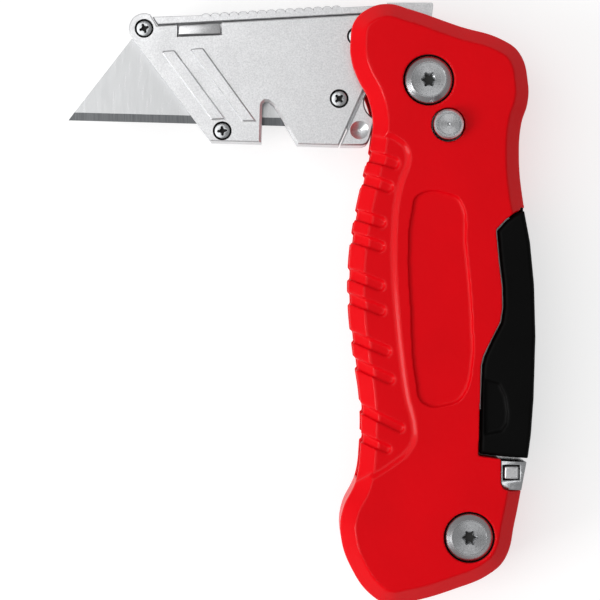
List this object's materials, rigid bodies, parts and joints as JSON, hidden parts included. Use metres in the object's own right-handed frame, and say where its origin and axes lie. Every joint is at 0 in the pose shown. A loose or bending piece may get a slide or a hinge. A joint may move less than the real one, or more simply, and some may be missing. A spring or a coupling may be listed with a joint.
{
  "type": "folding utility knife",
  "caption": "Folding utility knife with a die-cast handle, quick-release trapezoid blade, button lock and swing-out spare-blade magazine.",
  "frame": {"origin": "fold pivot axis at the rear face of the handle, which is the face the knife lies on", "axes": "+Z from the rear face to the front face with the lock button, along the fold pivot; +Y from the butt towards the pivot end of the handle; +X towards the spine with the magazine, so the half-open blade points along -X"},
  "size_m": [0.1039, 0.1335, 0.0232],
  "materials": {
    "red_paint": "satin powder coat on die-cast aluminium",
    "cast_metal": "blasted satin die casting",
    "steel": "turned and polished",
    "blade_steel": "ground carbon steel",
    "spring_steel": "drawn wire",
    "bronze": "plain bearing washer",
    "black_plastic": "moulded, semi-gloss"
  },
  "bodies": {
    "handle": {"front_shell": "red_paint", "back_shell": "red_paint", "front_liner": "steel", "back_liner": "steel", "pivot_bolt": "steel", "pivot_nut": "steel", "butt_bolt": "steel", "butt_nut": "steel", "front_pivot_washer": "bronze", "back_pivot_washer": "bronze", "magazine_pin": "steel", "latch_plate": "cast_metal", "latch_spring": "spring_steel", "lock_spring": "spring_steel"},
    "head": {"tang_plate": "cast_metal", "front_cheek": "cast_metal", "back_cheek": "cast_metal", "spine_bar": "cast_metal", "head_screw_1": "steel", "head_screw_2": "steel", "head_screw_3": "steel", "head_screw_4": "steel", "release_spring": "spring_steel"},
    "blade": {"blade": "blade_steel"},
    "release": {"release_button": "steel"},
    "lock": {"lock_button": "steel", "lock_pin": "steel"},
    "latch": {"latch_button": "steel"},
    "magazine": {"magazine": "black_plastic", "spare_blade_1": "blade_steel", "spare_blade_2": "blade_steel", "spare_blade_3": "blade_steel"}
  },
  "joints": [
    {"name": "head_fold", "type": "hinge", "parent": "handle", "child": "head", "pos_m": [0, 0, 0], "axis": [0, 0, 1], "range_deg": [-90, 90]},
    {"name": "blade_slide", "type": "slide", "parent": "head", "child": "blade", "axis": [-0.9997, 0.0262, 0], "range_m": [0, 0.008]},
    {"name": "release_press", "type": "slide", "parent": "head", "child": "release", "axis": [0, 0, -1], "range_m": [0, 0.001], "stiffness_N_per_m": 600, "springref_m": -0.0008, "deforming": ["release_spring"]},
    {"name": "lock_press", "type": "slide", "parent": "handle", "child": "lock", "axis": [0, 0, -1], "range_m": [0, 0.0022], "stiffness_N_per_m": 800, "springref_m": -0.001, "deforming": ["lock_spring"]},
    {"name": "latch_press", "type": "slide", "parent": "handle", "child": "latch", "axis": [0, 0, -1], "range_m": [0, 0.0015], "stiffness_N_per_m": 600, "springref_m": -0.001, "deforming": ["latch_spring"]},
    {"name": "magazine_swing", "type": "hinge", "parent": "handle", "child": "magazine", "pos_m": [0.0196, -0.02745, 0], "axis": [0, 0, 1], "range_deg": [0, 38]}
  ]
}
